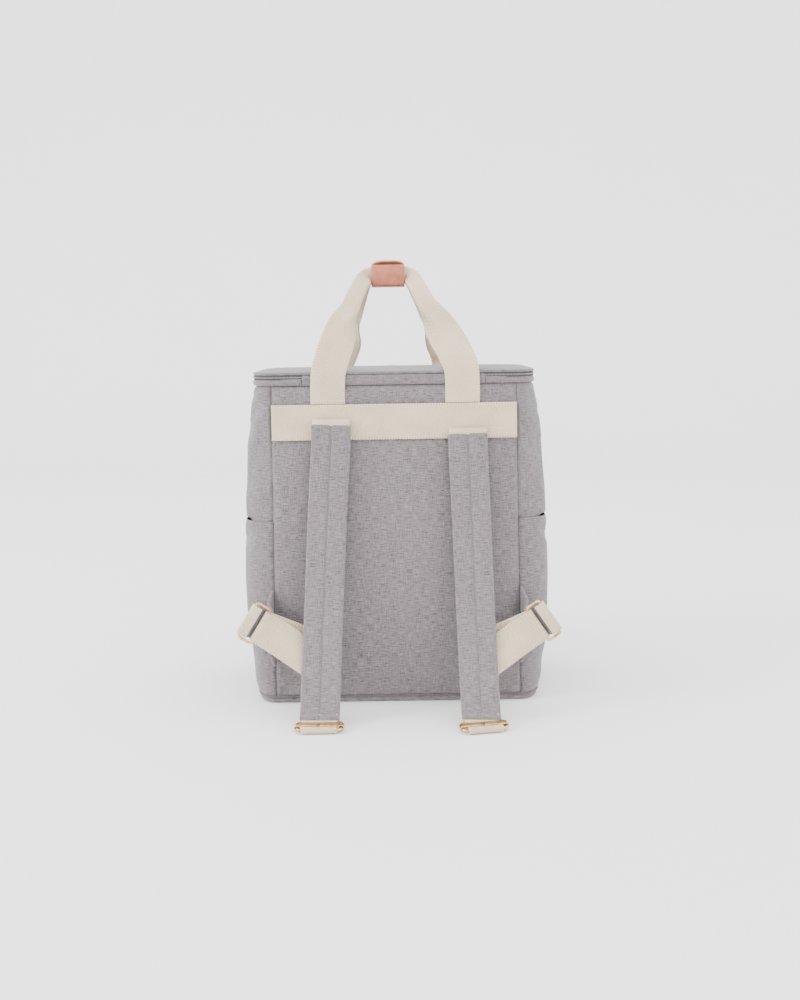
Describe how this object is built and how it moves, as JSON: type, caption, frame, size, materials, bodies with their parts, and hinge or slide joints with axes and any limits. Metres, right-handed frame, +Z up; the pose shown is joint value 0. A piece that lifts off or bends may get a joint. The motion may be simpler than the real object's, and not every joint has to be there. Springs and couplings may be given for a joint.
{
  "type": "cooler backpack",
  "caption": "Insulated box-shaped backpack with a zipped lid, webbing carry handles in a leather wrap, padded shoulder straps and side pockets.",
  "frame": {"origin": "middle of the bag's underside, on the surface it stands on", "axes": "+Z up, the back panel with the shoulder straps faces -Y, +X to its right seen from behind"},
  "size_m": [0.3566, 0.2938, 0.5015],
  "materials": {
    "heather_cloth": "heathered grey canvas weave, matt",
    "cotton_webbing": "undyed cotton webbing, twill weave, matt",
    "tan_leather": "smooth brown leather, soft shine",
    "brass_wire": "brushed antique brass",
    "zip_tape": "dark coil zip on tape"
  },
  "bodies": {
    "root": {"base_panel": "heather_cloth", "back_panel": "heather_cloth", "front_panel": "heather_cloth", "rim_band": "heather_cloth", "zip_chain": "zip_tape", "zip_slider": "brass_wire", "hinge_band": "heather_cloth", "lid_panel": "heather_cloth", "webbing_band": "cotton_webbing", "back_handle": "cotton_webbing", "front_handle": "cotton_webbing", "handle_wrap": "tan_leather", "left_gusset": "heather_cloth", "left_pocket": "heather_cloth", "left_strap": "heather_cloth", "left_strap_anchor": "cotton_webbing", "left_strap_end": "cotton_webbing", "left_slide_frame": "brass_wire", "left_slide_bar": "brass_wire", "left_adjuster": "cotton_webbing", "left_tab": "heather_cloth", "left_tab_loop": "cotton_webbing", "left_tab_ring": "brass_wire", "right_gusset": "heather_cloth", "right_pocket": "heather_cloth", "right_strap": "heather_cloth", "right_strap_anchor": "cotton_webbing", "right_strap_end": "cotton_webbing", "right_slide_frame": "brass_wire", "right_slide_bar": "brass_wire", "right_adjuster": "cotton_webbing", "right_tab": "heather_cloth", "right_tab_loop": "cotton_webbing", "right_tab_ring": "brass_wire"}
  },
  "joints": []
}
